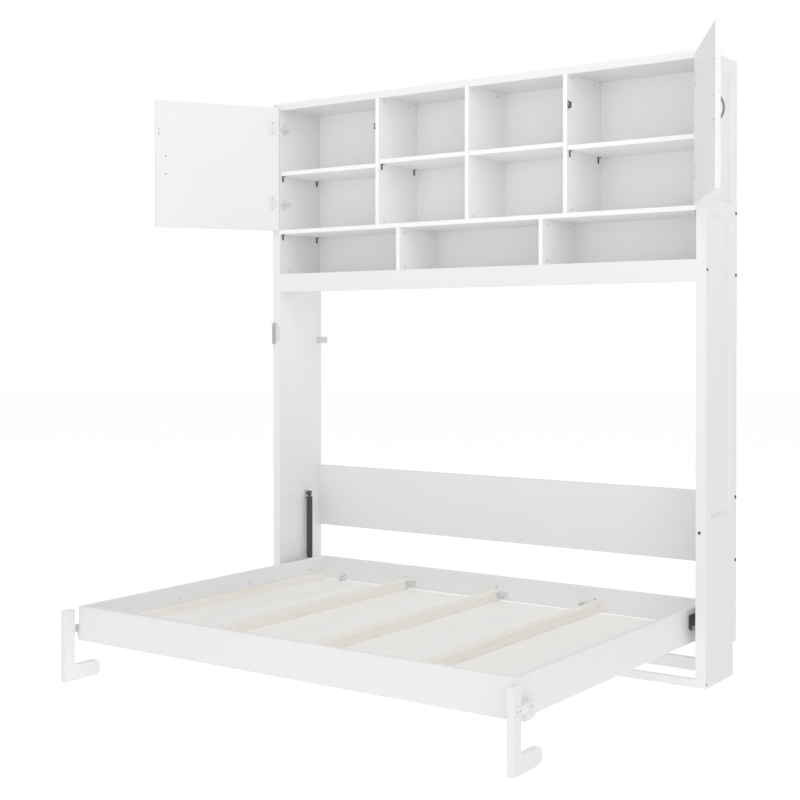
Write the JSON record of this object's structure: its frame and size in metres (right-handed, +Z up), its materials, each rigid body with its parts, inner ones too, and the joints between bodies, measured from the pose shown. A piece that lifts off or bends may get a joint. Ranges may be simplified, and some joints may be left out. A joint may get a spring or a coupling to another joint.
{
  "type": "murphy wall bed",
  "caption": "Side-folding full-size wall bed in a white open frame, with an overhead cabinet, two doors, gas springs and self-hanging J-shaped legs, shown with the bed down.",
  "frame": {"origin": "on the floor, midway between the posts, in the plane of the posts' front faces (the bottom front edge of the base front rail)", "axes": "+X to the right along the wall, +Y back to the wall (the wall is at y = 0.306), +Z up; the bed lies towards -Y"},
  "size_m": [2.655, 1.6245, 2.4],
  "materials": {
    "white_paint": "satin white paint on wood",
    "white_back_panel": "thin white-faced board",
    "pine": "bare planed pine",
    "black_steel": "black powder coat",
    "black_plastic": "moulded",
    "zinc_steel": "bright zinc plate",
    "white_plastic": "moulded",
    "polished_rod": "ground and polished"
  },
  "bodies": {
    "cabinet": {"left_side_lower": "white_paint", "right_side_lower": "white_paint", "left_side_upper": "white_paint", "right_side_upper": "white_paint", "top_panel": "white_paint", "crown_rail": "white_paint", "main_shelf": "white_paint", "upper_back_panel": "white_back_panel", "lower_back_panel": "white_back_panel", "upper_divider_1": "white_paint", "upper_divider_2": "white_paint", "upper_divider_3": "white_paint", "shelf_1": "white_paint", "shelf_2": "white_paint", "shelf_3": "white_paint", "shelf_4": "white_paint", "lower_divider_1": "white_paint", "lower_divider_2": "white_paint", "bottom_shelf": "white_paint", "valance": "white_paint", "back_board": "white_paint", "base_front_rail": "white_paint", "base_rear_rail": "white_paint", "shelf_pins": "black_steel", "cam_caps": "white_plastic", "connector_bolts": "black_steel", "door_catches": "black_plastic", "hinge_plates": "zinc_steel", "wall_brackets": "zinc_steel", "post_pivots": "black_steel", "spring_post_mounts": "zinc_steel", "lever_pivot": "zinc_steel"},
    "left_door": {"left_door_frame": "white_paint", "left_door_panel": "white_paint", "left_door_handle": "black_steel", "left_door_hinges": "zinc_steel"},
    "right_door": {"right_door_frame": "white_paint", "right_door_panel": "white_paint", "right_door_handle": "black_steel", "right_door_hinges": "zinc_steel"},
    "bed": {"bed_left_rail": "white_paint", "bed_right_rail": "white_paint", "bed_front_rail": "white_paint", "bed_rear_rail": "white_paint", "face_boards": "white_paint", "joists": "pine", "side_cleats": "pine", "joist_brackets": "zinc_steel", "bed_pivot_plates": "black_steel", "leg_blocks": "zinc_steel", "bed_pull_handle": "black_steel"},
    "left_leg": {"left_leg": "white_paint", "left_leg_strap": "zinc_steel"},
    "left_spring": {"left_spring_tube": "black_steel"},
    "left_rod": {"left_spring_rod": "polished_rod"},
    "right_leg": {"right_leg": "white_paint", "right_leg_strap": "zinc_steel"},
    "right_spring": {"right_spring_tube": "black_steel"},
    "right_rod": {"right_spring_rod": "polished_rod"},
    "bed_lock": {"lock_lever": "zinc_steel"}
  },
  "joints": [
    {"name": "bed_fold", "type": "hinge", "parent": "cabinet", "child": "bed", "pos_m": [0, 0.06, 0.214], "axis": [-1, 0, 0], "range_deg": [0, 90]},
    {"name": "left_door_swing", "type": "hinge", "parent": "cabinet", "child": "left_door", "pos_m": [-1.025, -0.0115, 2.0985], "axis": [0, 0, 1], "range_deg": [0, 123]},
    {"name": "right_door_swing", "type": "hinge", "parent": "cabinet", "child": "right_door", "pos_m": [1.025, -0.0115, 2.0985], "axis": [0, 0, -1], "range_deg": [-3, 120]},
    {"name": "bed_lock_turn", "type": "hinge", "parent": "cabinet", "child": "bed_lock", "pos_m": [-1.051, -0.007, 1.382], "axis": [0, -1, 0], "range_deg": [0, 90]},
    {"name": "left_leg_swing", "type": "hinge", "parent": "bed", "child": "left_leg", "pos_m": [-1.002, -1.209, 0.195], "axis": [1, 0, 0], "range_deg": [0, 90]},
    {"name": "left_spring_tilt", "type": "hinge", "parent": "cabinet", "child": "left_spring", "pos_m": [-0.998, 0.19, 0.588], "axis": [-1, 0, 0], "range_deg": [0, 14]},
    {"name": "left_rod_slide", "type": "slide", "parent": "left_spring", "child": "left_rod", "axis": [0, 0, -1], "range_m": [0, 0.16]},
    {"name": "right_leg_swing", "type": "hinge", "parent": "bed", "child": "right_leg", "pos_m": [1.002, -1.209, 0.195], "axis": [1, 0, 0], "range_deg": [0, 90]},
    {"name": "right_spring_tilt", "type": "hinge", "parent": "cabinet", "child": "right_spring", "pos_m": [0.998, 0.19, 0.588], "axis": [-1, 0, 0], "range_deg": [0, 14]},
    {"name": "right_rod_slide", "type": "slide", "parent": "right_spring", "child": "right_rod", "axis": [0, 0, -1], "range_m": [0, 0.16]}
  ],
  "couplings": [
    {"joint": "left_leg_swing", "follows": "bed_fold", "ratio": 1},
    {"joint": "left_spring_tilt", "follows": "bed_fold", "ratio": 0.14402},
    {"joint": "left_rod_slide", "follows": "bed_fold", "m_per_rad": 0.10006},
    {"joint": "right_leg_swing", "follows": "bed_fold", "ratio": 1},
    {"joint": "right_spring_tilt", "follows": "bed_fold", "ratio": 0.14402},
    {"joint": "right_rod_slide", "follows": "bed_fold", "m_per_rad": 0.10006}
  ]
}
